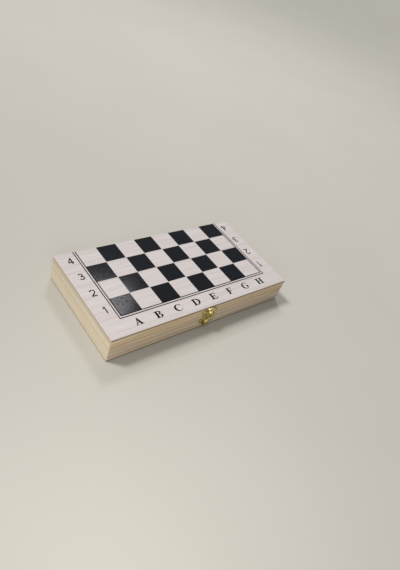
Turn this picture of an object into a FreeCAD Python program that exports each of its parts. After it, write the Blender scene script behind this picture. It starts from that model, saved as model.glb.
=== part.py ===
import FreeCAD, Part
import math
import os

from FreeCAD import Vector

# Folding box for chess and backgammon. Two shallow wooden halves, each a mitred frame of four
# rails under a thin board, are joined by two butt hinges along one long side and held shut on the
# other by a hook that swings over a knob. Opened by half a turn, the halves lie side by side: the
# outer faces make the chess board, the inside makes the backgammon board.
# Units are millimetres. X runs along the hinge line, +Y points from the latch to the hinges and
# +Z is up. The origin is the centre of the face that the closed box stands on.

# Case
CASE_LENGTH = 290.0
CASE_DEPTH = 145.0
HALF_HEIGHT = 18.5          # from a half's board face to the middle of the seam
SEAM_GAP = 0.5
PANEL_THICKNESS = 2.5
RAIL_THICKNESS = 9.0
CORNER_RADIUS = 1.2         # upright outside corners
RIM_ROUND = 0.8             # edges of the rims that meet at the seam
PANEL_CHAMFER = 0.3         # outer edge of each board face

# Hinges
HINGE_SPACING = 176.0       # between the middles of the two hinges
HINGE_LENGTH = 26.0
HINGE_STANDOFF = 0.4        # pin axis behind the back face, so the back faces clear when open
KNUCKLE_COUNT = 5
KNUCKLE_GAP = 0.2           # between neighbouring knuckles
PIN_DIAMETER = 1.6
PIN_CHAMFER = 0.2
PIN_CLEARANCE = 0.05        # radial, pin to knuckle
LEAF_THICKNESS = 0.9
LEAF_REACH = 7.4            # from the pin axis to the leaf's free edge
LEAF_CORNER = 1.2
LEAF_CLEARANCE = 0.15       # leaf to the sides of its mortise
BARREL_CLEARANCE = 0.3      # barrel to the wood and to the other leaf
SCREW_SPACING = 15.0        # two countersunk screw holes in each leaf
SCREW_HOLE_DIAMETER = 1.7
COUNTERSINK_DIAMETER = 3.3
COUNTERSINK_DEPTH = 0.7

# Latch plates
STUD_RISE = 10.5            # knob above the seam
PIVOT_DROP = 7.0            # hook's rivet below the seam
PLATE_THICKNESS = 0.8
PLATE_RIM_WIDTH = 0.8       # raised border
PLATE_RIM_HEIGHT = 0.4
PLATE_BLEND = 2.4           # radius of the hollows between lobes
PLATE_EAR_RADIUS = 4.0      # lobe with a nail hole, on each side
PLATE_EAR_OFFSET = 8.2      # from the middle of the plate to each nail
LID_EAR_LEAN = -0.8         # how much nearer to the seam than the middle the ears stand
BASE_EAR_LEAN = 2.2
LID_APRON_RADIUS = 5.2      # lobe of the lid's plate that reaches down to the seam
LID_APRON_OFFSET = 4.4
LID_SKIRT_RADIUS = 3.6      # smaller lobe on each side of it
LID_SKIRT_SPREAD = 6.6      # from the middle of the plate to each of them
LID_SKIRT_OFFSET = 4.6
LID_CREST_RADIUS = 2.4      # lobe on the side away from the seam
LID_CREST_OFFSET = 2.6
BASE_BOSS_RADIUS = 6.0      # lobe of the base's plate round the rivet, on the seam's side
BASE_CREST_RADIUS = 5.4
BASE_CREST_OFFSET = 3.2
NAIL_HOLE_DIAMETER = 1.3    # one in each ear

# Knob, rivet and hook
STUD_NECK_DIAMETER = 3.4
STUD_HEAD_DIAMETER = 6.4
STUD_HEAD_HEIGHT = 2.8
STUD_HEAD_EDGE = 0.4        # straight part of the head's side, below its dome
TANG_CLEARANCE = 0.05       # round the tangs of knob and rivet, in plate and wood
STUD_TANG_DIAMETER = 2.0    # drives into the rail
STUD_TANG_LENGTH = 5.0
WASHER_DIAMETER = 6.4
WASHER_THICKNESS = 0.6
RIVET_DIAMETER = 2.4
RIVET_HEAD_DIAMETER = 5.6
RIVET_HEAD_HEIGHT = 1.2
RIVET_HEAD_EDGE = 0.4
RIVET_TANG_LENGTH = 5.0
HOOK_THICKNESS = 1.5
HOOK_PLAY = 0.06            # along the rivet, on each side of the hook
HOOK_BORE_CLEARANCE = 0.06
HOOK_BAND = 5.0             # width of the hook's curved arm
HOOK_CATCH_GAP = 0.25       # hook to the knob's neck
HOOK_TIP_REACH = 2.2        # how far the tip passes over the knob
HOOK_LEAVE_ANGLE = 80.0     # degrees: where the arm leaves the curve round the knob
HOOK_EYE_RADIUS = 5.0
HOOK_TAB_OFFSET = 6.2       # thumb tab below the rivet
HOOK_TAB_RADIUS = 3.2
HOOK_TAB_BLEND = 1.6        # radius of the hollows between eye and tab
HOOK_BEVEL = 0.5

# Places worked out from the sizes above
FRONT_FACE = -CASE_DEPTH / 2
BACK_FACE = CASE_DEPTH / 2
SEAM = HALF_HEIGHT
HINGE_CENTRES = {"left": -HINGE_SPACING / 2, "right": HINGE_SPACING / 2}
AXIS_Y = BACK_FACE + HINGE_STANDOFF
KNUCKLE_BORE = PIN_DIAMETER / 2 + PIN_CLEARANCE
KNUCKLE_RADIUS = KNUCKLE_BORE + LEAF_THICKNESS
COVE_RADIUS = KNUCKLE_RADIUS + BARREL_CLEARANCE
SCREW_Y = AXIS_Y - (COVE_RADIUS + LEAF_REACH) / 2
STUD_Z = SEAM + STUD_RISE
PIVOT_Z = SEAM - PIVOT_DROP
HOOK_SPAN = STUD_RISE + PIVOT_DROP
HOOK_BACK = PLATE_THICKNESS + WASHER_THICKNESS + HOOK_PLAY
HOOK_FRONT = HOOK_BACK + HOOK_THICKNESS
OVERCUT = 1.0               # how far a cutting tool runs past the face that it cuts
TOUCH = 1e-6                # closer than this counts as the same place
X_AXIS = Vector(1, 0, 0)
Z_AXIS = Vector(0, 0, 1)


class Half:
    """One half of the case, between its board face and the seam."""

    def __init__(self, name, board_face, inward):
        self.name = name
        self.inward = inward        # +1 where the seam is above the board face, -1 where below
        self.board_face = board_face
        self.panel_back = board_face + inward * PANEL_THICKNESS
        self.rim = board_face + inward * (HALF_HEIGHT - SEAM_GAP / 2)

    def below_rim(self, depth):
        """Height of a level that lies that deep in the wood, counted from the rim."""
        return self.rim - self.inward * depth


BASE = Half("base", 0.0, 1)
LID = Half("lid", 2 * HALF_HEIGHT, -1)


def block(x, y, z):
    """A box between two limits on each axis, in either order."""
    low = Vector(min(x), min(y), min(z))
    return Part.makeBox(abs(x[1] - x[0]), abs(y[1] - y[0]), abs(z[1] - z[0]), low)


def prism(points, z):
    """A flat outline raised between two heights."""
    corners = [Vector(px, py, min(z)) for px, py in points]
    outline = Part.makePolygon(corners + corners[:1])
    return Part.Face(outline).extrude(Vector(0, 0, abs(z[1] - z[0])))


def turned(profile):
    """A solid of revolution about Z from (radius, height) points, the first and last on the axis."""
    corners = [Vector(radius, 0, height) for radius, height in profile]
    outline = Part.makePolygon(corners + corners[:1])
    return Part.Face(outline).revolve(Vector(0, 0, 0), Z_AXIS, 360)


def rounded_edges(solid, radius, wanted):
    """The solid with a fillet on every edge that the test picks."""
    return solid.makeFillet(radius, [edge for edge in solid.Edges if wanted(edge)])


def is_level(edge, height):
    return all(abs(vertex.Z - height) < TOUCH for vertex in edge.Vertexes)


def is_upright(edge):
    ends = edge.Vertexes
    return len(ends) == 2 and abs(ends[0].X - ends[1].X) + abs(ends[0].Y - ends[1].Y) < TOUCH


# Case: boards and mitred rails

def case_block(z):
    """The case's outline with rounded upright corners, between two heights."""
    x = (-CASE_LENGTH / 2, CASE_LENGTH / 2)
    return rounded_edges(block(x, (FRONT_FACE, BACK_FACE), z), CORNER_RADIUS, is_upright)


def panel(half):
    """The thin board that closes one half, with its outer edge broken."""
    board = case_block((half.board_face, half.panel_back))
    outer = [edge for edge in board.Edges if is_level(edge, half.board_face)]
    return board.makeChamfer(PANEL_CHAMFER, outer)


def frame(half):
    """All four rails of a half in one ring, with rounded rims."""
    ring = case_block((half.panel_back, half.rim))
    inside_x = CASE_LENGTH / 2 - RAIL_THICKNESS
    inside_y = CASE_DEPTH / 2 - RAIL_THICKNESS
    hollow = block((-inside_x, inside_x), (-inside_y, inside_y), (half.panel_back, half.rim))
    return rounded_edges(ring.cut(hollow), RIM_ROUND, lambda edge: is_level(edge, half.rim))


def mitred_rails(half):
    """The ring cut along its corner mitres into front, back, left and right rails."""
    ring = frame(half)
    out_x, out_y = CASE_LENGTH / 2 + OVERCUT, CASE_DEPTH / 2 + OVERCUT
    in_x, in_y = out_x - RAIL_THICKNESS - 2 * OVERCUT, out_y - RAIL_THICKNESS - 2 * OVERCUT
    z = (half.panel_back, half.rim)
    front = [(-out_x, -out_y), (out_x, -out_y), (in_x, -in_y), (-in_x, -in_y)]
    left = [(-out_x, -out_y), (-in_x, -in_y), (-in_x, in_y), (-out_x, out_y)]
    outlines = {
        "front": front,
        "back": [(px, -py) for px, py in front],
        "left": left,
        "right": [(-px, py) for px, py in left],
    }
    return {side: ring.common(prism(outline, z)) for side, outline in outlines.items()}


# Hinges: rolled leaves and pins

def along_hinge(radius, start, end):
    """A cylinder on the hinge axis between two places along X."""
    return Part.makeCylinder(radius, end - start, Vector(start, AXIS_Y, SEAM), X_AXIS)


def knuckle_spans(half, centre):
    """Where this half's knuckles lie along X. The base has the outer ones."""
    pitch = HINGE_LENGTH / KNUCKLE_COUNT
    first = 0 if half is BASE else 1
    start = centre - HINGE_LENGTH / 2
    return [(start + i * pitch, start + (i + 1) * pitch) for i in range(first, KNUCKLE_COUNT, 2)]


def hinge_mortise(half, centre):
    """The wood taken out of a back rail for one leaf and the barrel."""
    reach = HINGE_LENGTH / 2 + LEAF_CLEARANCE
    x = (centre - reach, centre + reach)
    y = (AXIS_Y - LEAF_REACH - LEAF_CLEARANCE, BACK_FACE + OVERCUT)
    seat = block(x, y, (half.below_rim(LEAF_THICKNESS), half.below_rim(-OVERCUT)))
    return seat.fuse(along_hinge(COVE_RADIUS, *x))


def screw_places(centre):
    return [centre - SCREW_SPACING / 2, centre + SCREW_SPACING / 2]


def screw_hole(half, x):
    """A countersunk hole through a leaf, wide at the leaf's face."""
    head, shank = COUNTERSINK_DIAMETER / 2, SCREW_HOLE_DIAMETER / 2
    end = LEAF_THICKNESS + OVERCUT
    hole = turned([(0, 0), (head, 0), (shank, COUNTERSINK_DEPTH), (shank, end), (0, end)])
    if half is BASE:
        hole.rotate(Vector(0, 0, 0), X_AXIS, 180)
    hole.translate(Vector(x, SCREW_Y, half.rim))
    return hole


def hinge_leaf(half, centre):
    """A flat leaf with rolled knuckles, notched where the other leaf's knuckles turn."""
    other = LID if half is BASE else BASE
    x = (centre - HINGE_LENGTH / 2, centre + HINGE_LENGTH / 2)
    z = (half.below_rim(LEAF_THICKNESS), half.rim)
    free_edge = AXIS_Y - LEAF_REACH
    plate = block(x, (free_edge, AXIS_Y), z)

    def at_free_corner(edge):
        return is_upright(edge) and abs(edge.Vertexes[0].Y - free_edge) < TOUCH

    leaf = rounded_edges(plate, LEAF_CORNER, at_free_corner)
    for start, end in knuckle_spans(half, centre):
        leaf = leaf.fuse(along_hinge(KNUCKLE_RADIUS, start, end))
    for start, end in knuckle_spans(other, centre):
        notch_x = (start - KNUCKLE_GAP, end + KNUCKLE_GAP)
        notch_z = (SEAM - COVE_RADIUS, SEAM + COVE_RADIUS)
        leaf = leaf.cut(block(notch_x, (AXIS_Y - COVE_RADIUS, AXIS_Y + COVE_RADIUS), notch_z))
    leaf = leaf.cut(along_hinge(KNUCKLE_BORE, x[0] - OVERCUT, x[1] + OVERCUT))
    for place in screw_places(centre):
        leaf = leaf.cut(screw_hole(half, place))
    return leaf.removeSplitter()


def hinge_pin(centre):
    """A plain pin through all the knuckles of one hinge, with broken ends."""
    pin = along_hinge(PIN_DIAMETER / 2, centre - HINGE_LENGTH / 2, centre + HINGE_LENGTH / 2)
    rims = [edge for edge in pin.Edges if isinstance(edge.Curve, Part.Circle)]
    return pin.makeChamfer(PIN_CHAMFER, rims)


def back_rail(half, rail):
    """The back rail with its hinge mortises."""
    for centre in HINGE_CENTRES.values():
        rail = rail.cut(hinge_mortise(half, centre))
    return rail


# Latch: two nailed plates, a knob on the lid and a hook riveted to the base
# Latch pieces are drawn flat, looking at the box's front with +Y up, and raised along +Z

def on_front(shape, height):
    """Stands a latch piece up against the front face, with its middle at that height."""
    placed = shape.copy()
    placed.rotate(Vector(0, 0, 0), X_AXIS, 90)
    placed.translate(Vector(0, FRONT_FACE, height))
    return placed


def disc(radius, x, y, z):
    return Part.makeCylinder(radius, z[1] - z[0], Vector(x, y, z[0]))


def on_circle(centre, radius, angle):
    turn = math.radians(angle)
    return Vector(centre.x + radius * math.cos(turn), centre.y + radius * math.sin(turn), 0)


def lobed_outline(lobes, blend):
    """A closed outline round (centre, radius) lobes, anticlockwise, with a hollow between neighbours."""
    hollows = []
    for (here, radius), (there, next_radius) in zip(lobes, lobes[1:] + lobes[:1]):
        apart = there - here
        near, far = radius + blend, next_radius + blend
        along = (apart.Length ** 2 + near ** 2 - far ** 2) / (2 * apart.Length)
        aside = math.sqrt(near ** 2 - along ** 2)
        unit = apart / apart.Length
        hollows.append(here + unit * along + Vector(unit.y, -unit.x, 0) * aside)
    edges = []
    for i, (centre, radius) in enumerate(lobes):
        before, after = hollows[i - 1] - centre, hollows[i] - centre
        first = math.degrees(math.atan2(before.y, before.x))
        sweep = (math.degrees(math.atan2(after.y, after.x)) - first) % 360
        lobe = [on_circle(centre, radius, first + sweep * share) for share in (0, 0.5, 1)]
        following, next_radius = lobes[(i + 1) % len(lobes)]
        arrival = following + (hollows[i] - following).normalize() * next_radius
        inward = (lobe[-1] - hollows[i]) + (arrival - hollows[i])
        edges.append(Part.Arc(*lobe).toShape())
        edges.append(Part.Arc(lobe[-1], hollows[i] + inward.normalize() * blend, arrival).toShape())
    return Part.Wire(edges)


def ear_places(half):
    """Middles of a plate's left and right ears, with the seam at +Y."""
    lean = BASE_EAR_LEAN if half is BASE else LID_EAR_LEAN
    return [Vector(side * PLATE_EAR_OFFSET, lean, 0) for side in (-1, 1)]


def plate_outline(half):
    """A plate's lobed outline: an ear on each side, a crest, and one or three lobes towards the seam."""
    if half is BASE:
        crest = (Vector(0, -BASE_CREST_OFFSET, 0), BASE_CREST_RADIUS)
        seam_side = [(Vector(0, 0, 0), BASE_BOSS_RADIUS)]
    else:
        crest = (Vector(0, -LID_CREST_OFFSET, 0), LID_CREST_RADIUS)
        apron = (Vector(0, LID_APRON_OFFSET, 0), LID_APRON_RADIUS)
        left_skirt = (Vector(-LID_SKIRT_SPREAD, LID_SKIRT_OFFSET, 0), LID_SKIRT_RADIUS)
        right_skirt = (Vector(LID_SKIRT_SPREAD, LID_SKIRT_OFFSET, 0), LID_SKIRT_RADIUS)
        seam_side = [right_skirt, apron, left_skirt]
    left, right = [(ear, PLATE_EAR_RADIUS) for ear in ear_places(half)]
    return lobed_outline([left, crest, right, *seam_side], PLATE_BLEND)


def latch_plate(half, bore):
    """A stamped plate with two nailed ears and a raised border round a sunk field."""
    outline = plate_outline(half)
    z = (0.0, PLATE_THICKNESS + PLATE_RIM_HEIGHT)
    body = Part.Face(outline).extrude(Vector(0, 0, z[1]))
    field = Part.Face(outline.makeOffset2D(-PLATE_RIM_WIDTH)).extrude(Vector(0, 0, PLATE_RIM_HEIGHT))
    field.translate(Vector(0, 0, PLATE_THICKNESS))
    body = body.cut(field)
    for ear in ear_places(half):
        body = body.cut(disc(NAIL_HOLE_DIAMETER / 2, ear.x, ear.y, z))
    body = body.cut(disc(bore, 0, 0, z))
    if half is LID:
        body.rotate(Vector(0, 0, 0), Z_AXIS, 180)
    return body


def domed(radius, height, edge, z):
    """A low dome on a short cylindrical edge, standing on that height."""
    rise = height - edge
    ball = (radius ** 2 + rise ** 2) / (2 * rise)
    cap = Part.makeSphere(ball, Vector(0, 0, z + height - ball))
    return Part.makeCylinder(radius, height, Vector(0, 0, z)).common(cap)


def tang(diameter, length, top):
    """A round shank from a height down into the wood, with a point as long as it is thick."""
    radius = diameter / 2
    return turned([(0, top), (radius, top), (radius, diameter - length), (0, -length)])


def stud():
    """The knob that the hook catches: a tang, a neck and a domed head."""
    neck_top = HOOK_FRONT + HOOK_PLAY
    neck = disc(STUD_NECK_DIAMETER / 2, 0, 0, (PLATE_THICKNESS, neck_top))
    head = domed(STUD_HEAD_DIAMETER / 2, STUD_HEAD_HEIGHT, STUD_HEAD_EDGE, neck_top)
    shank = tang(STUD_TANG_DIAMETER, STUD_TANG_LENGTH, PLATE_THICKNESS)
    return shank.fuse([neck, head]).removeSplitter()


def rivet():
    """The hook's pivot, through hook, washer and plate into the rail."""
    neck_top = HOOK_FRONT + HOOK_PLAY
    head = domed(RIVET_HEAD_DIAMETER / 2, RIVET_HEAD_HEIGHT, RIVET_HEAD_EDGE, neck_top)
    return head.fuse(tang(RIVET_DIAMETER, RIVET_TANG_LENGTH, neck_top)).removeSplitter()


def washer():
    z = (PLATE_THICKNESS, PLATE_THICKNESS + WASHER_THICKNESS)
    ring = disc(WASHER_DIAMETER / 2, 0, 0, z)
    return ring.cut(disc(RIVET_DIAMETER / 2 + HOOK_BORE_CLEARANCE, 0, 0, z))


def hook_line():
    """Centre line of the hook's arm, from its tip over the knob and round to the rivet."""
    pivot = Vector(0, 0, 0)
    knob = Vector(0, HOOK_SPAN, 0)
    curl = STUD_NECK_DIAMETER / 2 + HOOK_CATCH_GAP + HOOK_BAND / 2
    swing = HOOK_SPAN + curl
    tip_angle = math.degrees(HOOK_TIP_REACH / swing)
    tip = [on_circle(pivot, swing, 90 + tip_angle * share) for share in (1, 0.5, 0)]
    leave = HOOK_LEAVE_ANGLE
    over = [on_circle(knob, curl, angle) for angle in (90, (90 + leave) / 2, leave)]
    start = over[-1]
    heading = Vector(math.sin(math.radians(leave)), -math.cos(math.radians(leave)), 0)
    chord = pivot - start
    arm_radius = chord.Length / (2 * math.sin(heading.getAngle(chord)))
    centre = start + Vector(heading.y, -heading.x, 0) * arm_radius
    outward = (start - centre) + (pivot - centre)
    arm = [start, centre + outward.normalize() * arm_radius, pivot]
    return Part.Wire([Part.Arc(*points).toShape() for points in (tip, over, arm)])


def hook():
    """The flat hook: a curved arm, an eye on the rivet and a thumb tab, with bevelled front edges."""
    z = (HOOK_BACK, HOOK_FRONT)
    arm = hook_line().makeOffset2D(HOOK_BAND / 2, 0, True).extrude(Vector(0, 0, HOOK_THICKNESS))
    arm.translate(Vector(0, 0, HOOK_BACK))
    eye = (Vector(0, 0, 0), HOOK_EYE_RADIUS)
    tab = (Vector(0, -HOOK_TAB_OFFSET, 0), HOOK_TAB_RADIUS)
    tail = Part.Face(lobed_outline([eye, tab], HOOK_TAB_BLEND)).extrude(Vector(0, 0, HOOK_THICKNESS))
    tail.translate(Vector(0, 0, HOOK_BACK))
    body = arm.fuse(tail).removeSplitter()
    body = body.makeChamfer(HOOK_BEVEL, [edge for edge in body.Edges if is_level(edge, HOOK_FRONT)])
    return body.cut(disc(RIVET_DIAMETER / 2 + HOOK_BORE_CLEARANCE, 0, 0, z))


def front_rail(rail, height, tang_diameter, tang_length):
    """The front rail with the hole that the tang of its knob or rivet is driven into."""
    hole = disc(tang_diameter / 2 + TANG_CLEARANCE, 0, 0, (-tang_length - TANG_CLEARANCE, OVERCUT))
    return rail.cut(on_front(hole, height))


def pieces():
    """Every piece of the box by name."""
    made = {}
    for half in (BASE, LID):
        rails = mitred_rails(half)
        rails["back"] = back_rail(half, rails["back"])
        if half is BASE:
            tang_hole = (PIVOT_Z, RIVET_DIAMETER, RIVET_TANG_LENGTH)
        else:
            tang_hole = (STUD_Z, STUD_TANG_DIAMETER, STUD_TANG_LENGTH)
        rails["front"] = front_rail(rails["front"], *tang_hole)
        made[half.name + "_panel"] = panel(half)
        for side, rail in rails.items():
            made[f"{half.name}_{side}_rail"] = rail
        for side, centre in HINGE_CENTRES.items():
            made[f"{side}_hinge_{half.name}_leaf"] = hinge_leaf(half, centre)
    for side, centre in HINGE_CENTRES.items():
        made[f"{side}_hinge_pin"] = hinge_pin(centre)
    made["latch_lid_plate"] = on_front(latch_plate(LID, STUD_TANG_DIAMETER / 2 + TANG_CLEARANCE), STUD_Z)
    made["latch_knob"] = on_front(stud(), STUD_Z)
    made["latch_base_plate"] = on_front(latch_plate(BASE, RIVET_DIAMETER / 2 + TANG_CLEARANCE), PIVOT_Z)
    made["latch_washer"] = on_front(washer(), PIVOT_Z)
    made["latch_hook"] = on_front(hook(), PIVOT_Z)
    made["latch_rivet"] = on_front(rivet(), PIVOT_Z)
    return made


def main():
    os.makedirs("parts", exist_ok=True)
    for name, shape in pieces().items():
        shape.exportStep(os.path.join("parts", name + ".step"))
        print(f"{name}: {len(shape.Solids)} solid(s), {shape.Volume:.1f} mm3, valid {shape.isValid()}")


main()
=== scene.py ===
import math

import bmesh
import bpy
from mathutils import Matrix, Vector


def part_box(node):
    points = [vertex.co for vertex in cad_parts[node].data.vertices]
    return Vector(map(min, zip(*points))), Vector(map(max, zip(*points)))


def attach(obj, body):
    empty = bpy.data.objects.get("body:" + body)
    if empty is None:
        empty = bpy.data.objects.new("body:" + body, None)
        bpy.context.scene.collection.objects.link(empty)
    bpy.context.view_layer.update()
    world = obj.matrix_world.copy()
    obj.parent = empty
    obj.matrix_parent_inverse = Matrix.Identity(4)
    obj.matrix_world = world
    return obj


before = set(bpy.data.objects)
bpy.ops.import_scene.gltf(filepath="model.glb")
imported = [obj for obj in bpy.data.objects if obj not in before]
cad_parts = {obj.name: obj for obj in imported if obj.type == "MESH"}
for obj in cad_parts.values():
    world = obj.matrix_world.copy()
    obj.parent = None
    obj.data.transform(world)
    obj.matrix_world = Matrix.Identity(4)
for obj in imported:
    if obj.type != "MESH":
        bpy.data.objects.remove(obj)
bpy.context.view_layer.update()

# The looks of a folding chess and backgammon box: pine rails, printed boards and brass fittings.
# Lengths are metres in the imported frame: X along the hinges, +Y towards them and +Z up.

MM = 0.001

# Printed chess board
SQUARE = 29.2 * MM              # pitch of the squares
SQUARE_INK = 28.7 * MM          # side of one dark square
PRINT_SHIFT = 0.7 * MM          # the print lies this far right of the board's middle
FILES = 8
RANKS = 4                       # on each half
FILM = 0.03 * MM                # thickness of the ink
LINE = 1.35 * MM                # width of the border lines
LINE_SPACING = 3.1 * MM         # inner border line to outer one
CAP_HEIGHT = 10.7 * MM
LETTER_DROP = 14.15 * MM        # edge of the squares to the middle of the letters
DIGIT_HEIGHT = 11.1 * MM
DIGIT_DROP = 13.0 * MM          # edge of the squares to the middle of the digits

# Printed backgammon board
POINTS_A_SIDE = 6
POINT_BASE = 19.5 * MM
POINT_REACH = 104.0 * MM
FIELD_MARGIN = 1.5 * MM         # rails to the printed field

# Hinge screws
SCREW_HEAD = 2.9 * MM
SCREW_SHANK = 1.65 * MM
SCREW_DEPTH = 0.6 * MM
SCREW_SLOT = 0.5 * MM
SCREW_SLOT_DEPTH = 0.3 * MM
SCREW_SPACING = 15.0 * MM
SCREW_FROM_EDGE = 2.675 * MM    # free edge of a hinge leaf to its screws
SCREW_SIDES = 28
SCREW_SEED = {"base": 4, "lid": 3}

# Latch nails
NAIL_HEAD = 3.0 * MM
NAIL_RISE = 0.5 * MM
NAIL_SPACING = 16.4 * MM
NAIL_LIFT = {"base": 2.2 * MM, "lid": 0.8 * MM}     # middle of the rivet or the knob up to the nails
NAIL_SIDES = 24
NAIL_RINGS = 8
NAIL_DOME = math.pi * 0.47      # turn of the dome from its rim to its small flat top
PLATE_FIELD = 0.8 * MM          # level of the plates' sunk field

# Floor
FLOOR_SIZE = 60.0
FLOOR_GAP = 0.02 * MM           # floor to the ink under the base

# Places read from the frame
lid_low, lid_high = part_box("lid_panel")
base_low, base_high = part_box("base_panel")
FOLD_Y = lid_high.y
TOP_Z = lid_high.z
MIDDLE_Z = TOP_Z / 2
GRID_X = SQUARE * FILES / 2
HALF_TURN = Matrix.Rotation(math.pi, 4, "X")


def turned_over(y):
    """A half turn about the line along X that lies at that place and at the seam's height."""
    shift = Matrix.Translation((0, y, MIDDLE_Z))
    return shift @ HALF_TURN @ shift.inverted()


# Node trees: sums of sockets are written as Python sums

class Socket:
    """A node's output. Sums of sockets and numbers add Math nodes to its tree."""

    def __init__(self, net, output):
        self.net = net
        self.output = output

    def __add__(self, other):
        return self.net.math("ADD", self, other)

    def __sub__(self, other):
        return self.net.math("SUBTRACT", self, other)

    def __rsub__(self, other):
        return self.net.math("SUBTRACT", other, self)

    def __mul__(self, other):
        return self.net.math("MULTIPLY", self, other)

    def __truediv__(self, other):
        return self.net.math("DIVIDE", self, other)

    def __mod__(self, other):
        return self.net.math("FLOORED_MODULO", self, other)

    def __pow__(self, other):
        return self.net.math("POWER", self, other)

    def __gt__(self, other):
        return self.net.math("GREATER_THAN", self, other)

    def __lt__(self, other):
        return self.net.math("LESS_THAN", self, other)

    def __abs__(self):
        return self.net.math("ABSOLUTE", self)

    __radd__ = __add__
    __rmul__ = __mul__


class Net:
    """A node tree to which one method adds every node."""

    def __init__(self, tree):
        self.tree = tree

    def node(self, kind, settings=None, inputs=None, output=0):
        """Adds a node with its settings and its sockets' values or links, and gives its output."""
        added = self.tree.nodes.new(kind)
        for name, value in (settings or {}).items():
            if name == "stops":
                self.set_stops(added.color_ramp.elements, value)
            else:
                setattr(added, name, value)
        for key, value in (inputs or {}).items():
            if isinstance(value, Socket):
                self.tree.links.new(value.output, added.inputs[key])
            else:
                added.inputs[key].default_value = value
        if isinstance(output, tuple):
            return [Socket(self, added.outputs[key]) for key in output]
        return Socket(self, added.outputs[output]) if added.outputs else None

    @staticmethod
    def set_stops(elements, stops):
        """Sets a ramp's stops from (place, grey level) pairs."""
        while len(elements) < len(stops):
            elements.new(1.0)
        for element, (place, level) in zip(elements, stops):
            element.position = place
            element.color = (level, level, level, 1.0)

    def math(self, operation, *terms):
        return self.node("ShaderNodeMath", {"operation": operation}, dict(enumerate(terms)))

    def vector(self, x, y, z):
        return self.node("ShaderNodeCombineXYZ", None, {"X": x, "Y": y, "Z": z})

    def mix(self, share, first, second):
        """One colour going over into another."""
        settings = {"data_type": "RGBA"}
        return self.node("ShaderNodeMix", settings, {0: share, 6: first, 7: second}, 2)


def colour(red, green, blue):
    """A colour written in the screen's 0 to 255, as linear light."""
    levels = [level / 255 for level in (red, green, blue)]
    linear = [v / 12.92 if v <= 0.04045 else ((v + 0.055) / 1.055) ** 2.4 for v in levels]
    return (*linear, 1.0)


class Finish(Net):
    """A material whose nodes are written out for one finish."""

    def __init__(self, name):
        self.material = bpy.data.materials.new(name)
        self.material.use_nodes = True
        super().__init__(self.material.node_tree)
        self.tree.nodes.clear()

    def place(self):
        """Where a point of the piece lies, in millimetres, as three sockets."""
        where = self.node("ShaderNodeTexCoord", output="Object")
        parts = self.node("ShaderNodeSeparateXYZ", None, {"Vector": where}, ("X", "Y", "Z"))
        return [part * (1 / MM) for part in parts]

    def noise(self, place, pitch, detail=2.0, roughness=0.5):
        """Soft noise from 0 to 1 with so many grains in a millimetre along each of three axes."""
        spot = self.vector(*(part * grains for part, grains in zip(place, pitch)))
        settings = {"noise_dimensions": "3D"}
        inputs = {"Vector": spot, "Scale": 1.0, "Detail": detail, "Roughness": roughness}
        return self.node("ShaderNodeTexNoise", settings, inputs)

    def ramp(self, share, stops):
        return self.node("ShaderNodeValToRGB", {"stops": stops}, {"Fac": share})

    def step(self, value, low, high):
        """A smooth step from 0 to 1 between two limits."""
        settings = {"interpolation_type": "SMOOTHSTEP"}
        inputs = {"Value": value, "From Min": low, "From Max": high}
        return self.node("ShaderNodeMapRange", settings, inputs)

    def bump(self, height, strength, depth):
        inputs = {"Height": height, "Strength": strength, "Distance": depth}
        return self.node("ShaderNodeBump", None, inputs)

    def surface(self, **sockets):
        """Ends the material in one shader with these sockets."""
        inputs = {name.replace("_", " "): value for name, value in sockets.items()}
        shader = self.node("ShaderNodeBsdfPrincipled", None, inputs)
        self.node("ShaderNodeOutputMaterial", None, {"Surface": shader})
        return self.material


# Pine. A pitch is in grains a millimetre: along the wood, across it and up

SWAY_PITCH = (0.006, 0.02, 0.03)
CROWDING_PITCH = (0.12, 1.0, 1.0)
STREAK_PITCH = (0.012, 0.5, 0.5)
FIBRE_PITCH = (0.03, 2.2, 2.2)
PORE_PITCH = (0.1, 4.5, 4.5)
PATCH_PITCH = (0.006, 0.1, 0.1)
RING_SWAY = 7.0         # mm that the growth rings wander along a rail
RING_CROWDING = 2.4     # rings by which they crowd or thin out
LATE_PEAK = 0.84        # where in a growth ring its dark wood is darkest
RING_STOPS = ((0.0, 0.3), (0.14, 0.04), (0.5, 0.14), (LATE_PEAK, 1.0), (0.95, 0.85), (1.0, 0.3))
LATE_LEAST = 0.12       # share of late wood in the palest year
LATE_YEARLY = 0.55      # what a dark year adds
PATCH_SHARE = 0.7
STREAK_SHARE = 0.3
FIBRE_SHARE = 0.2
PORE_SHARE = 0.35

# Early, late and warm wood
LIGHT_PINE = (colour(234, 224, 205), colour(193, 172, 138), colour(226, 211, 184))
PALE_PINE = (colour(234, 224, 205), colour(181, 159, 125), colour(226, 211, 184))
WARM_PINE = (colour(224, 204, 174), colour(150, 119, 87), colour(210, 185, 148))
# Pine's own tone, greyed and darkened further as painted shade for the front of the base, where the floor's
# cool bounce and shadow fall
GREY_PINE_AND_PAINTED_SHADE = (colour(217, 201, 178), colour(141, 112, 76), colour(204, 185, 157))

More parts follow.
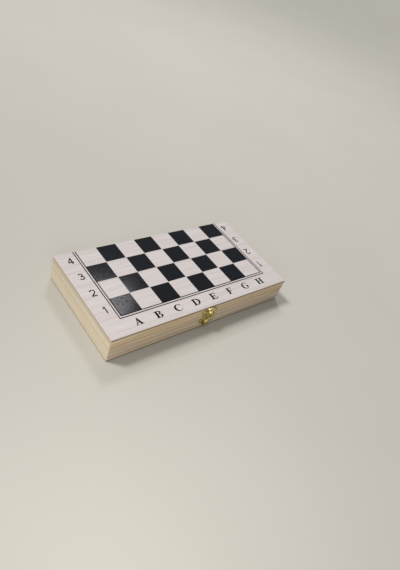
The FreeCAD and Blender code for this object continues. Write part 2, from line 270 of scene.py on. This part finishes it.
RAIL_WOOD = {
    "lid_front_rail": dict(pith=(-86.0, 82.0), line=23.2, ring=6.0, tone=WARM_PINE),
    # The front of the base gets pine with painted shade in its colour
    "base_front_rail": dict(pith=(-90.0, -46.0), line=16.4, ring=11.0, tone=GREY_PINE_AND_PAINTED_SHADE),
    "lid_back_rail": dict(pith=(94.0, 88.0), line=28.0, ring=6.5, tone=PALE_PINE),
    "base_back_rail": dict(pith=(88.0, -40.0), line=9.0, ring=7.0, tone=WARM_PINE),
    # The left lid rail's dark line lies just under the panel's edge, so its face is darker there
    "lid_left_rail": dict(pith=(-160.0, -46.0), line=34.2, ring=7.5, tone=PALE_PINE),
    "base_left_rail": dict(pith=(-162.0, -40.0), line=8.0, ring=6.4, tone=LIGHT_PINE),
    "lid_right_rail": dict(pith=(166.0, 78.0), line=30.0, ring=6.0, tone=PALE_PINE),
    "base_right_rail": dict(pith=(158.0, -44.0), line=12.0, ring=7.0, tone=WARM_PINE),
}


def pine(rail, pith, line, ring, tone):
    """Planed pine with its grain along a rail.

    Pith is the middle of the growth rings, across the rail and up. Line is the height at which one dark line
    runs along the rail's outer face, and ring is the rings' width, all in millimetres.
    """
    finish = Finish(rail + "_pine")
    x, y, z = finish.place()
    low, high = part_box(rail)
    if high.x - low.x > high.y - low.y:
        length, across, sides = x, y, (low.y, high.y)
    else:
        length, across, sides = y, x, (low.x, high.x)
    face = max(sides, key=abs) / MM
    place = (length, across, z)
    sway = finish.noise(place, SWAY_PITCH) - 0.5
    radius = finish.math("SQRT", (across - pith[0]) ** 2.0 + (z - pith[1]) ** 2.0) + sway * RING_SWAY
    line_radius = math.hypot(face - pith[0], line - pith[1])
    crowd, line_crowd = [finish.noise((reach, ring, 0.0), CROWDING_PITCH) for reach in (radius, line_radius)]
    turns = (radius - line_radius) / ring + (crowd - line_crowd) * RING_CROWDING + LATE_PEAK
    grown = turns % 1.0
    year = finish.node("ShaderNodeTexWhiteNoise", {"noise_dimensions": "1D"}, {"W": turns - grown + ring})
    late = finish.ramp(grown, RING_STOPS)
    patch = finish.step(finish.noise(place, PATCH_PITCH), 0.36, 0.66)
    streak = finish.step(finish.noise(place, STREAK_PITCH, detail=3.0), 0.5, 0.72)
    fibre = finish.noise(place, FIBRE_PITCH, detail=4.0, roughness=0.6)
    pore = finish.step(finish.noise(place, PORE_PITCH, detail=3.0), 0.55, 0.72)
    early_wood, late_wood, warm_wood = tone
    wood = finish.mix(patch * PATCH_SHARE, early_wood, warm_wood)
    wood = finish.mix(late * (LATE_LEAST + LATE_YEARLY * year), wood, late_wood)
    wood = finish.mix(streak * STREAK_SHARE, wood, late_wood)
    wood = finish.mix(finish.step(fibre, 0.5, 0.8) * FIBRE_SHARE, wood, late_wood)
    wood = finish.mix(pore * PORE_SHARE, wood, late_wood)
    relief = finish.bump(fibre + late * 0.6 - pore * 0.5, strength=0.2, depth=0.2 * MM)
    return finish.surface(Base_Color=wood, Roughness=0.46 + fibre * 0.2, Normal=relief)


# Printed boards

PAPER_SHADE_PITCH = (0.007, 0.09, 0.1)
PAPER_STREAK_PITCH = (0.014, 0.55, 0.2)
DUST_PITCH = (1.1, 1.1, 1.1)
STRAND_PITCH = (0.25, 0.25, 3.0)
PAPER = (colour(194, 187, 185), colour(189, 182, 180))
PAPER_STREAK = colour(175, 164, 161)
PAPER_DUST = colour(214, 209, 207)
SHORT_EDGE_PLIES = (colour(201, 186, 162), colour(163, 146, 121))
LONG_EDGE_PLIES = (colour(158, 142, 120), colour(122, 107, 88))
PLY_STOPS = ((0.0, 0.35), (0.3, 0.75), (0.36, 0.25), (0.62, 0.3), (0.68, 0.8), (1.0, 0.5))
PLY_RIM = 0.22          # mm in from the board's edges within which its plies show


def printed_board(name, outer_z, inner_z):
    """Pale printed board with faint pink grain, and the brown plies along its edge."""
    finish = Finish(name)
    place = finish.place()
    x, y, z = place
    shade = finish.step(finish.noise(place, PAPER_SHADE_PITCH), 0.3, 0.7)
    streak = finish.noise(place, PAPER_STREAK_PITCH, detail=4.0, roughness=0.62)
    dust = finish.noise(place, DUST_PITCH, detail=3.0)
    paper = finish.mix(shade, *PAPER)
    paper = finish.mix(finish.step(streak, 0.46, 0.68) * 0.75, paper, PAPER_STREAK)
    paper = finish.mix(finish.step(dust, 0.45, 0.8) * 0.25, paper, PAPER_DUST)
    short_rim = abs(x) > lid_high.x / MM - PLY_RIM
    long_rim = abs(y) > lid_high.y / MM - PLY_RIM
    rim = finish.math("MAXIMUM", short_rim, long_rim)
    depth = (z - outer_z / MM) / ((inner_z - outer_z) / MM)
    strand = finish.noise(place, STRAND_PITCH, detail=3.0)
    plies = finish.ramp(depth, PLY_STOPS) * (0.6 + strand * 0.5)
    edge = finish.mix(long_rim, finish.mix(plies, *SHORT_EDGE_PLIES), finish.mix(plies, *LONG_EDGE_PLIES))
    board = finish.mix(rim, paper, edge)
    relief = finish.bump(streak + dust * 0.4, strength=0.1, depth=0.1 * MM)
    rough = 0.5 + rim * 0.2 + dust * 0.08
    return finish.surface(Base_Color=board, Roughness=rough, Specular_IOR_Level=0.25, Normal=relief)


# Inks

MOTTLE_PITCH = (0.5, 0.5, 0.5)
SPECK_PITCH = (0.42, 0.42, 0.42)
SCUFF_PITCH = (0.05, 0.9, 1.0)


def ink(name, dark, worn, gloss, roughness, specks):
    """Printed ink under a thin gloss coat, with a fine mottle, small dull specks and faint scuffs."""
    finish = Finish(name)
    place = finish.place()
    mottle = finish.noise(place, MOTTLE_PITCH, detail=4.0, roughness=0.6)
    speck = finish.step(finish.noise(place, SPECK_PITCH, detail=1.0), 0.61, 0.66)
    scuff = finish.step(finish.noise(place, SCUFF_PITCH, detail=3.0), 0.62, 0.8)
    skin = finish.mix(mottle * 0.5, dark, worn)
    skin = finish.mix(speck * 0.1 + scuff * 0.15, skin, worn)
    coat = gloss * (1.7 - mottle * 1.3 - speck * specks)
    relief = finish.bump(mottle, strength=0.16, depth=0.1 * MM)
    return finish.surface(Base_Color=skin, Roughness=0.6, Specular_IOR_Level=0.02, Coat_Weight=coat,
                          Coat_Roughness=roughness, Normal=relief)


BLACK_INK = ink("black_ink", colour(9, 11, 16), colour(22, 24, 31), gloss=0.16, roughness=0.125, specks=0.55)
SIGN_INK = ink("sign_ink", colour(5, 5, 7), colour(16, 16, 19), gloss=0.04, roughness=0.4, specks=0.3)
RED_INK = ink("red_ink", colour(126, 44, 30), colour(148, 66, 46), gloss=0.16, roughness=0.16, specks=0.3)

# Metals

TARNISH_PITCH = (0.35, 0.35, 0.35)
SCRATCH_PITCH = (0.8, 0.8, 14.0)
DENT_PITCH = (0.45, 0.45, 0.45)


def metal(name, bright, dull, roughness, dents):
    """Metal with cloudy tarnish, fine scratches and the shallow dents of stamping."""
    finish = Finish(name)
    place = finish.place()
    tarnish = finish.noise(place, TARNISH_PITCH, detail=4.0, roughness=0.6)
    scratch = finish.noise(place, SCRATCH_PITCH)
    dent = finish.noise(place, DENT_PITCH, detail=1.0)
    skin = finish.mix(finish.step(tarnish, 0.42, 0.75), bright, dull)
    relief = finish.bump(dent + scratch * 0.05, strength=dents, depth=0.4 * MM)
    rough = roughness + finish.step(tarnish, 0.4, 0.8) * 0.14 + scratch * 0.05
    return finish.surface(Base_Color=skin, Metallic=1.0, Roughness=rough, Normal=relief)


PLATE_BRASS = metal("plate_brass", colour(208, 191, 130), colour(164, 145, 86), roughness=0.2, dents=0.8)
HOOK_BRASS = metal("hook_brass", colour(218, 202, 141), colour(180, 162, 98), roughness=0.2, dents=0.5)
HEAD_BRASS = metal("head_brass", colour(224, 209, 140), colour(178, 160, 90), roughness=0.1, dents=0.15)
HINGE_BRASS = metal("hinge_brass", colour(210, 180, 106), colour(166, 134, 74), roughness=0.34, dents=0.15)
SCREW_BRASS = metal("screw_brass", colour(176, 148, 92), colour(112, 92, 56), roughness=0.4, dents=0.1)
STEEL = metal("steel", colour(196, 196, 198), colour(140, 138, 136), roughness=0.28, dents=0.05)


def dress(node, material):
    """Gives a node of the frame a finished material."""
    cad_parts[node].material_slots[0].material = material


for rail, wood in RAIL_WOOD.items():
    dress(rail, pine(rail, **wood))
dress("lid_panel", printed_board("lid_print", lid_high.z, lid_low.z))
dress("base_panel", printed_board("base_print", base_low.z, base_high.z))
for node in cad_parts:
    if node in ("latch_knob", "latch_rivet"):
        dress(node, HEAD_BRASS)
    elif node == "latch_hook":
        dress(node, HOOK_BRASS)
    elif node.startswith("latch_"):
        dress(node, PLATE_BRASS)
    elif node.endswith("_leaf"):
        dress(node, HINGE_BRASS)
    elif node.endswith("_pin"):
        dress(node, STEEL)


# Pieces

def piece(name, mesh, body, slot):
    """Puts a finished mesh into the scene as a piece that moves with a body."""
    made = bpy.data.objects.new(name, mesh)
    bpy.context.scene.collection.objects.link(made)
    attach(made, body)


def mesh_of(maker):
    """The plain mesh that an object makes, and the object is removed."""
    bpy.context.scene.collection.objects.link(maker)
    seen = maker.evaluated_get(bpy.context.evaluated_depsgraph_get())
    mesh = bpy.data.meshes.new_from_object(seen)
    maker.modifiers.clear()
    bpy.data.objects.remove(maker)
    return mesh


def film(outlines, material):
    """A thin flat film inside these outlines, standing on z = 0. Inner outlines are holes."""
    curve = bpy.data.curves.new("film", "CURVE")
    curve.dimensions = "2D"
    curve.fill_mode = "BOTH"
    curve.extrude = FILM / 2
    for outline in outlines:
        spline = curve.splines.new("POLY")
        spline.points.add(len(outline) - 1)
        for point, (x, y) in zip(spline.points, outline):
            point.co = (x, y, 0, 1)
        spline.use_cyclic_u = True
    mesh = mesh_of(bpy.data.objects.new("film", curve))
    mesh.transform(Matrix.Translation((0, 0, FILM / 2)))
    closed = bmesh.new()
    closed.from_mesh(mesh)
    bmesh.ops.remove_doubles(closed, verts=closed.verts, dist=FILM / 100)
    bmesh.ops.recalc_face_normals(closed, faces=closed.faces)
    closed.to_mesh(mesh)
    closed.free()
    mesh.materials.clear()
    mesh.materials.append(material)
    return mesh


# Letters and digits, in hundredths of their height

STEM = 28       # thick strokes of the letters
HAIR = 9        # thin strokes and serifs
SERIF = 9       # how far a serif stands out from its stem
TOP = 100 - HAIR
EDGE = SERIF + STEM
STROKE = 13.5   # strokes of the digits
ARC_STEP = 12   # degrees


def arc(x, y, wide, high, start, end):
    """Points on an ellipse about (x, y) between two angles in degrees."""
    steps = max(2, round(abs(end - start) / ARC_STEP))
    angles = [math.radians(start + (end - start) * i / steps) for i in range(steps + 1)]
    return [(x + wide * math.cos(angle), y + high * math.sin(angle)) for angle in angles]


def stem_left_side():
    """Left side of an upright stem with serifs, from the top to the bottom."""
    return [(0, 100), (0, TOP), (SERIF, TOP), (SERIF, HAIR), (0, HAIR)]


def upper_arms(reach, middle):
    """Inner edge of the middle and top arms of E and F, from the stem up to the top corner."""
    low, high, tip = middle - 13, middle + HAIR + 13, reach - 21
    return [(EDGE, middle), (tip - 15, middle), *arc(tip - 15, low, 9, 13, 90, 0), (tip, low), (tip, high),
            *arc(tip - 15, high, 9, 13, 0, -90), (EDGE, middle + HAIR), (EDGE, TOP), (reach - 25, TOP),
            *arc(reach - 25, 72, 19, 20, 90, 0), (reach, 72), (reach - 1, 100)]


def letter_a():
    waist, bar, apex = 27, 27 + HAIR, 102
    thin, thick, foot = 10, 27, 86
    run = 36 / (apex - HAIR)

    def left(y):
        """Inner edge of the thin leg at a height."""
        return SERIF + thin + run * (y - HAIR)

    def right(y):
        """Inner edge of the thick leg at a height."""
        return foot - thick - run * (y - HAIR)

    tip = HAIR + (right(HAIR) - left(HAIR)) / (2 * run)
    outer = [(0, 0), (30, 0), (30, HAIR), (left(HAIR), HAIR), (left(waist), waist), (right(waist), waist),
             (right(HAIR), HAIR), (50, HAIR), (50, 0), (foot + SERIF, 0), (foot + SERIF, HAIR), (foot, HAIR),
             (50, apex), (45, apex), (SERIF, HAIR), (0, HAIR)]
    return [outer, [(left(bar), bar), (right(bar), bar), (left(tip), tip)]]


def letter_b():
    outer = [(0, 0), *arc(48, 26.5, 44, 26.5, -90, 62), (60, 53.5), *arc(46, 76.5, 36, 23.5, -55, 90),
             *stem_left_side()]
    upper = [(EDGE, 57), *arc(45, 74.5, 14, 17.5, -90, 90), (EDGE, TOP)]
    lower = [(EDGE, HAIR), *arc(46, 28.5, 20, 20.5, -90, 90), (EDGE, 49)]
    return [outer, upper, lower]


def letter_c():
    return [[(92, 66), (97, 66), (96, 102), (90, 102), *arc(55, 50, 55, 52, 58, 318), (104, 23), (98, 28),
             *arc(65, 50, 36, 44, -42, -325)]]


def letter_d():
    outer = [(0, 0), *arc(46, 50, 61, 50, -90, 90), *stem_left_side()]
    return [outer, [(EDGE, HAIR), *arc(42, 50, 38, 50 - HAIR, -90, 90), (EDGE, TOP)]]


def letter_e():
    return [[(0, 0), (89, 0), (93, 32), *arc(66, 32, 21, 32 - HAIR, 0, -90), (EDGE, HAIR),
             *upper_arms(90, 46), *stem_left_side()]]


def letter_f():
    return [[(0, 0), (45, 0), (45, HAIR), (EDGE, HAIR), *upper_arms(80, 44), *stem_left_side()]]


def letter_g():
    spur = 40
    return [[(86, 66), (91, 66), (90, 102), (84, 102), *arc(52, 50, 52, 52, 58, 300), (96, 11), (96, spur),
             (106, spur), (106, spur + HAIR), (64, spur + HAIR), (64, spur), (76, spur),
             *arc(60, 50, 33, 44, -61, -325)]]


def letter_h():
    far, bar = 70, 46
    far_edge = far + STEM
    far_end = far_edge + SERIF
    return [[(0, 0), (43, 0), (43, HAIR), (EDGE, HAIR), (EDGE, bar), (far, bar), (far, HAIR), (61, HAIR),
             (61, 0), (far_end, 0), (far_end, HAIR), (far_edge, HAIR), (far_edge, TOP), (far_end, TOP),
             (far_end, 100), (61, 100), (61, TOP), (far, TOP), (far, bar + HAIR), (EDGE, bar + HAIR),
             (EDGE, TOP), (43, TOP), (43, 100), *stem_left_side()]]


LETTERS = [letter_a(), letter_b(), letter_c(), letter_d(), letter_e(), letter_f(), letter_g(), letter_h()]
DIGITS = {
    1: [[(20, 0), (20 + STROKE, 0), (20 + STROKE, 100), (25, 100), (14, 88), (0, 80), (0, 66), (20, 77)]],
    2: [[(0, 0), (63, 0), (63, STROKE), (23, STROKE), *arc(30, 68, 33, 32, -35, 172), (12, 70),
         *arc(30, 68, 33 - STROKE, 32 - STROKE, 170, -32), (0, 11)]],
    3: [[*arc(30, 74, 27, 26, 170, -52), *arc(31, 29, 31, 29, 56, -168), (14, 26),
         *arc(31, 29, 31 - STROKE, 29 - STROKE, -166, 74), (22, 45), (22, 59),
         *arc(30, 74, 27 - STROKE, 26 - STROKE, -80, 170)]],
    4: [[(38, 0), (54, 0), (54, 21), (68, 21), (68, 36), (54, 36), (54, 100), (40, 100), (0, 35), (0, 21),
         (38, 21)], [(15, 36), (38, 36), (38, 74)]],
    5: [[(10, 100), (60, 100), (60, 100 - STROKE), (21, 100 - STROKE), *arc(31, 32.5, 32.5, 32.5, 112, -168),
         (13, 27), *arc(31, 32.5, 32.5 - STROKE, 32.5 - STROKE, -166, 138), (3, 47)]],
    6: [[*arc(34, 50, 34, 50, 30, 270), *arc(32, 32, 32, 32, -85, 122), (15, 57),
         *arc(34, 50, 34 - STROKE, 50 - STROKE, 165, 35)], arc(32, 32, 32 - STROKE, 32 - STROKE, 0, 348)],
    7: [[(0, 100 - STROKE), (45, 100 - STROKE), (16, 0), (32, 0), (62, 90), (62, 100), (0, 100)]],
    8: [[*arc(31, 28.5, 31, 28.5, 121, 419), *arc(31, 75, 25, 25, -62, 242)],
        arc(31, 75, 25 - STROKE, 25 - STROKE, 0, 348),
        arc(31, 28.5, 31 - STROKE, 28.5 - STROKE, 0, 348)],
}


def set_glyph(glyph, height, x, y, upside_down=False):
    """A glyph's outlines at a height, about a place on the board, upright or turned by half."""
    points = [point for outline in glyph for point in outline]
    middle = (min(px for px, _ in points) + max(px for px, _ in points)) / 2
    size = (-height if upside_down else height) / 100
    return [[(x + (px - middle) * size, y + (py - 50) * size) for px, py in outline] for outline in glyph]


def lettering(first_rank, edge_y, turned):
    """Letters along the outer edge of a half, and its rank digits on both sides, on the open board."""
    outlines = []
    for i, letter in enumerate(LETTERS):
        outlines += set_glyph(letter, CAP_HEIGHT, PRINT_SHIFT + (i + 0.5) * SQUARE - GRID_X, edge_y, turned)
    for j in range(RANKS):
        digit = DIGITS[first_rank + j]
        y = FOLD_Y + (first_rank + j - RANKS - 0.5) * SQUARE
        outlines += set_glyph(digit, DIGIT_HEIGHT, PRINT_SHIFT - GRID_X - DIGIT_DROP, y)
        outlines += set_glyph(digit, DIGIT_HEIGHT, PRINT_SHIFT + GRID_X + DIGIT_DROP, y, True)
    return outlines


def border_line(out, edge_y, outward):
    """One line round three sides of a half's squares, that far outside them, open at the fold."""
    lines = []
    for reach in (out - LINE / 2, out + LINE / 2):
        x, y = GRID_X + reach, edge_y + outward * reach
        left, right = PRINT_SHIFT - x, PRINT_SHIFT + x
        lines.append([(left, FOLD_Y), (left, y), (right, y), (right, FOLD_Y)])
    inner, outer = lines
    return outer + inner[::-1]


# Trees that grow what repeats

def growing(name, sizes):
    """A geometry tree with these named inputs, given as (name, socket type), and their sockets."""
    tree = bpy.data.node_groups.new(name, "GeometryNodeTree")
    tree.interface.new_socket("Geometry", in_out="OUTPUT", socket_type="NodeSocketGeometry")
    for size, kind in sizes:
        tree.interface.new_socket(size, in_out="INPUT", socket_type="NodeSocket" + kind)
    net = Net(tree)
    names = tuple(size for size, _ in sizes)
    return net, dict(zip(names, net.node("NodeGroupInput", output=names)))


def grown_end(net, shape, material):
    """Ends a tree: instances are made real and get their material."""
    real = net.node("GeometryNodeRealizeInstances", None, {"Geometry": shape})
    done = net.node("GeometryNodeSetMaterial", None, {"Geometry": real, "Material": material})
    net.node("NodeGroupOutput", None, {"Geometry": done})
    return net.tree


def grow(tree, **sizes):
    """The mesh of a tree at these sizes."""
    maker = bpy.data.objects.new(tree.name, bpy.data.meshes.new(tree.name))
    modifier = maker.modifiers.new("Grow", "NODES")
    modifier.node_group = tree
    for item in tree.interface.items_tree:
        if item.in_out == "INPUT":
            modifier[item.identifier] = sizes[item.name.replace(" ", "_").lower()]
    return mesh_of(maker)


def row_along_x(net, count, spacing):
    """Places in a row along X, about the middle."""
    return net.node("GeometryNodeMeshLine", {"mode": "OFFSET"}, {
        "Count": count, "Start Location": net.vector((count - 1) * spacing * -0.5, 0.0, 0.0),
        "Offset": net.vector(spacing, 0.0, 0.0)})


def checker_tree():
    """Dark squares on every other place of a board, the first corner's among them."""
    net, size = growing("checker", [
        ("Pitch", "Float"), ("Side", "Float"), ("Columns", "Int"), ("Rows", "Int"), ("Film", "Float"),
        ("Material", "Material")])
    pitch, side = size["Pitch"], size["Side"]
    wide, high = (size["Columns"] - 1) * pitch, (size["Rows"] - 1) * pitch
    places = net.node("GeometryNodeMeshGrid", None, {
        "Size X": wide, "Size Y": high, "Vertices X": size["Columns"], "Vertices Y": size["Rows"]})
    where = net.node("GeometryNodeInputPosition")
    x, y = net.node("ShaderNodeSeparateXYZ", None, {"Vector": where}, ("X", "Y"))
    column = net.math("ROUND", (x + wide * 0.5) / pitch)
    row = net.math("ROUND", (y + high * 0.5) / pitch)
    square = net.node("GeometryNodeMeshCube", None, {"Size": net.vector(side, side, size["Film"])})
    lifted = net.node("GeometryNodeTransform", None, {
        "Geometry": square, "Translation": net.vector(0.0, 0.0, size["Film"] * 0.5)})
    dark = net.node("GeometryNodeInstanceOnPoints", None, {
        "Points": places, "Selection": ((column + row) % 2.0) < 0.5, "Instance": lifted})
    return grown_end(net, dark, size["Material"])


def points_tree():
    """Tapered points that stand on both ends of a field and reach inwards, every other one."""
    net, size = growing("points", [
        ("Field", "Float"), ("Pitch", "Float"), ("Count", "Int"), ("Base", "Float"), ("Reach", "Float"),
        ("Film", "Float"), ("First", "Int"), ("Material", "Material")])
    places = net.node("GeometryNodeMeshGrid", None, {
        "Size X": size["Field"], "Size Y": (size["Count"] - 1) * size["Pitch"],
        "Vertices X": 2, "Vertices Y": size["Count"]})
    block = net.node("GeometryNodeMeshCube", None, {
        "Size": net.vector(size["Reach"], size["Base"], size["Film"])})
    where = net.node("GeometryNodeInputPosition")
    x, y, z = net.node("ShaderNodeSeparateXYZ", None, {"Vector": where}, ("X", "Y", "Z"))
    narrow = 0.5 - x / size["Reach"]
    wedge = net.node("GeometryNodeSetPosition", None, {
        "Geometry": block,
        "Position": net.vector(x + size["Reach"] * 0.5, y * narrow, z + size["Film"] * 0.5)})
    point = net.node("GeometryNodeMergeByDistance", None, {"Geometry": wedge, "Distance": size["Film"] * 0.1})
    far_end = x > 0.0
    row = net.math("ROUND", y / size["Pitch"] + (size["Count"] - 1) * 0.5)
    chosen = net.math("COMPARE", (row + far_end) % 2.0, size["First"], 0.1)
    stood = net.node("GeometryNodeInstanceOnPoints", None, {
        "Points": places, "Selection": chosen, "Instance": point,
        "Rotation": net.vector(0.0, 0.0, far_end * math.pi)})
    return grown_end(net, stood, size["Material"])


def screws_tree():
    """Slotted countersunk screw heads in pairs, their slots turned as the screws happened to end."""
    net, size = growing("screw_heads", [
        ("Head", "Float"), ("Shank", "Float"), ("Depth", "Float"), ("Slot", "Float"), ("Slot Depth", "Float"),
        ("Hinges", "Float"), ("Pair", "Float"), ("Seed", "Int"), ("Material", "Material")])
    cone = net.node("GeometryNodeMeshCone", None, {
        "Vertices": SCREW_SIDES, "Radius Top": size["Head"] * 0.5, "Radius Bottom": size["Shank"] * 0.5,
        "Depth": size["Depth"]})
    sunk = net.node("GeometryNodeTransform", None, {
        "Geometry": cone, "Translation": net.vector(0.0, 0.0, size["Depth"] * -1.0)})
    groove = net.node("GeometryNodeMeshCube", None, {
        "Size": net.vector(size["Head"] * 2.0, size["Slot"], size["Slot Depth"] * 2.0)})
    head = net.node("GeometryNodeMeshBoolean", {"operation": "DIFFERENCE", "solver": "EXACT"}, {
        "Mesh 1": sunk, "Mesh 2": groove})
    pairs = net.node("GeometryNodeInstanceOnPoints", None, {
        "Points": row_along_x(net, 2, size["Hinges"]), "Instance": row_along_x(net, 2, size["Pair"])})
    places = net.node("GeometryNodeRealizeInstances", None, {"Geometry": pairs})
    turn = net.node("FunctionNodeRandomValue", {"data_type": "FLOAT"}, {
        2: 0.0, 3: math.pi, "Seed": size["Seed"]}, 1)
    screws = net.node("GeometryNodeInstanceOnPoints", None, {
        "Points": places, "Instance": head, "Rotation": net.vector(0.0, 0.0, turn)})
    return grown_end(net, screws, size["Material"])


def nails_tree():
    """Domed nail heads in a row along X that face up."""
    net, size = growing("nail_heads", [
        ("Head", "Float"), ("Rise", "Float"), ("Spacing", "Float"), ("Count", "Int"),
        ("Material", "Material")])
    drum = net.node("GeometryNodeMeshCylinder", None, {
        "Vertices": NAIL_SIDES, "Side Segments": NAIL_RINGS, "Radius": size["Head"] * 0.5,
        "Depth": size["Rise"]})
    where = net.node("GeometryNodeInputPosition")
    x, y, z = net.node("ShaderNodeSeparateXYZ", None, {"Vector": where}, ("X", "Y", "Z"))
    turn = (z / size["Rise"] + 0.5) * NAIL_DOME
    slim = net.math("COSINE", turn)
    tall = net.math("SINE", turn) * size["Rise"]
    dome = net.node("GeometryNodeSetPosition", None, {
        "Geometry": drum, "Position": net.vector(x * slim, y * slim, tall)})
    smooth = net.node("GeometryNodeSetShadeSmooth", None, {"Geometry": dome})
    nails = net.node("GeometryNodeInstanceOnPoints", None, {
        "Points": row_along_x(net, size["Count"], size["Spacing"]), "Instance": smooth})
    return grown_end(net, nails, size["Material"])


# Chess board on the outside: ranks 1 to 4 on the lid and 5 to 8 on the base, printed as one open board

checker = checker_tree()
for body, first_rank, outward in (("lid", 1, -1), ("base", 1 + RANKS, 1)):
    edge_y = FOLD_Y + outward * RANKS * SQUARE
    lift = Matrix.Translation((0, 0, TOP_Z))
    laid = lift if body == "lid" else turned_over(FOLD_Y) @ lift
    squares = grow(checker, pitch=SQUARE, side=SQUARE_INK, columns=FILES, rows=RANKS, film=FILM,
                   material=BLACK_INK)
    squares.transform(laid @ Matrix.Translation((PRINT_SHIFT, (FOLD_Y + edge_y) / 2, 0)))
    piece(body + "_squares", squares, body, "black_ink")
    signs = film(lettering(first_rank, edge_y + outward * LETTER_DROP, outward > 0), SIGN_INK)
    signs.transform(laid)
    piece(body + "_lettering", signs, body, "black_ink")
    lines = film([border_line(out, edge_y, outward) for out in (0, LINE_SPACING)], SIGN_INK)
    lines.transform(laid)
    piece(body + "_border_lines", lines, body, "black_ink")

# Backgammon board inside: six points on each short side of both halves

points = points_tree()
field_x = -2 * (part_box("base_left_rail")[1].x + FIELD_MARGIN)
field_y = -2 * (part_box("base_front_rail")[1].y + FIELD_MARGIN)
for body in ("base", "lid"):
    lift = Matrix.Translation((0, 0, base_high.z))
    laid = lift if body == "base" else turned_over(0) @ lift
    for first, (ink_name, material) in enumerate((("black", BLACK_INK), ("red", RED_INK))):
        half_points = grow(points, field=field_x, pitch=field_y / POINTS_A_SIDE, count=POINTS_A_SIDE,
                           base=POINT_BASE, reach=POINT_REACH, film=FILM, first=first, material=material)
        half_points.transform(laid)
        piece(f"{body}_{ink_name}_points", half_points, body, ink_name + "_ink")

# Hinge screws and latch nails

screws = screws_tree()
leaf_low, leaf_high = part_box("left_hinge_base_leaf")
hinge_x = (leaf_low.x + leaf_high.x) / 2
rim_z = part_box("base_back_rail")[1].z
for body in ("base", "lid"):
    heads = grow(screws, head=SCREW_HEAD, shank=SCREW_SHANK, depth=SCREW_DEPTH, slot=SCREW_SLOT,
                 slot_depth=SCREW_SLOT_DEPTH, hinges=-2 * hinge_x, pair=SCREW_SPACING, seed=SCREW_SEED[body],
                 material=SCREW_BRASS)
    if body == "lid":
        heads.transform(Matrix.Rotation(math.pi, 4, "Y"))
    seat_z = rim_z if body == "base" else TOP_Z - rim_z
    heads.transform(Matrix.Translation((0, leaf_low.y + SCREW_FROM_EDGE, seat_z)))
    piece(body + "_hinge_screws", heads, body, "hinge_brass")

nails = nails_tree()
upright = Matrix.Rotation(math.pi / 2, 4, "X")
for body, pin in (("base", "latch_rivet"), ("lid", "latch_knob")):
    heads = grow(nails, head=NAIL_HEAD, rise=NAIL_RISE, spacing=NAIL_SPACING, count=2, material=HEAD_BRASS)
    pin_low, pin_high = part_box(pin)
    seat = Vector((0, lid_low.y - PLATE_FIELD, (pin_low.z + pin_high.z) / 2 + NAIL_LIFT[body]))
    heads.transform(Matrix.Translation(seat) @ upright)
    piece(body + "_latch_nails", heads, body, "latch_brass")


# Floor, light and camera

def floor_finish():
    """Even warm grey with faint broad clouds."""
    finish = Finish("floor")
    cloud = finish.noise(finish.place(), (0.004, 0.004, 1.0))
    tone = finish.mix(cloud, colour(184, 181, 172), colour(178, 175, 166))
    return finish.surface(Base_Color=tone, Roughness=0.9)


def pale_floor():
    """A wide floor just under the ink of the base."""
    half = FLOOR_SIZE / 2
    level = -FILM - FLOOR_GAP
    mesh = bpy.data.meshes.new("floor")
    corners = [(-half, -half, level), (half, -half, level), (half, half, level), (-half, half, level)]
    mesh.from_pydata(corners, [], [(0, 1, 2, 3)])
    mesh.materials.append(floor_finish())
    made = bpy.data.objects.new("floor", mesh)
    bpy.context.scene.collection.objects.link(made)


def lamp_at(name, kind, place, power, tint, **sizes):
    """A soft lamp of one kind that faces the box from a place."""
    lamp = bpy.data.lights.new(name, kind)
    lamp.energy = power
    lamp.color = tint
    for size, value in sizes.items():
        setattr(lamp, size, value)
    made = bpy.data.objects.new(name, lamp)
    made.location = place
    made.rotation_euler = (-Vector(place)).to_track_quat("-Z", "Y").to_euler()
    bpy.context.scene.collection.objects.link(made)


def studio_sky(level):
    """Even light from all round, behind a pale backdrop for the camera, gloss and glass."""
    world = bpy.data.worlds.new("studio")
    world.use_nodes = True
    net = Net(world.node_tree)
    world.node_tree.nodes.clear()
    path = ("Is Camera Ray", "Is Glossy Ray", "Is Transmission Ray")
    camera, gloss, glass = net.node("ShaderNodeLightPath", output=path)
    seen = net.math("MAXIMUM", net.math("MAXIMUM", camera, gloss), glass)
    light = net.node("ShaderNodeBackground", None, {"Color": (1.0, 1.0, 1.0, 1.0), "Strength": level})
    backdrop = net.node("ShaderNodeBackground", None, {"Color": colour(222, 226, 230), "Strength": 1.0})
    sky = net.node("ShaderNodeMixShader", None, {0: seen, 1: light, 2: backdrop})
    net.node("ShaderNodeOutputWorld", None, {"Surface": sky})
    bpy.context.scene.world = world


def photo_camera(place, target, roll, lens):
    """A camera at a place that looks at a target and is rolled by some degrees."""
    camera = bpy.data.cameras.new("camera")
    camera.lens = lens
    camera.clip_start = 0.01
    camera.clip_end = 2 * FLOOR_SIZE
    made = bpy.data.objects.new("camera", camera)
    aim = (Vector(target) - Vector(place)).to_track_quat("-Z", "Y").to_matrix().to_4x4()
    made.matrix_world = Matrix.Translation(place) @ aim @ Matrix.Rotation(math.radians(roll), 4, "Z")
    bpy.context.scene.collection.objects.link(made)
    bpy.context.scene.camera = made


pale_floor()
lamp_at("key", "SUN", (-1.15, 1.05, 2.4), power=2.1, tint=(1.0, 0.99, 0.97), angle=math.radians(13))
lamp_at("panel", "AREA", (0.738, 1.17, 1.68), power=13.2, tint=(1.0, 0.965, 0.99), size=0.44)
lamp_at("fill", "AREA", (-0.30, -0.30, 0.25), power=0.45, tint=(1.0, 0.98, 0.95), size=0.2)
studio_sky(level=0.34)
photo_camera((-0.3660, -0.3257, 0.4300), target=(0.0455, -0.0075, 0.0), roll=22.5, lens=29.53)
bpy.context.scene.view_settings.view_transform = "Standard"
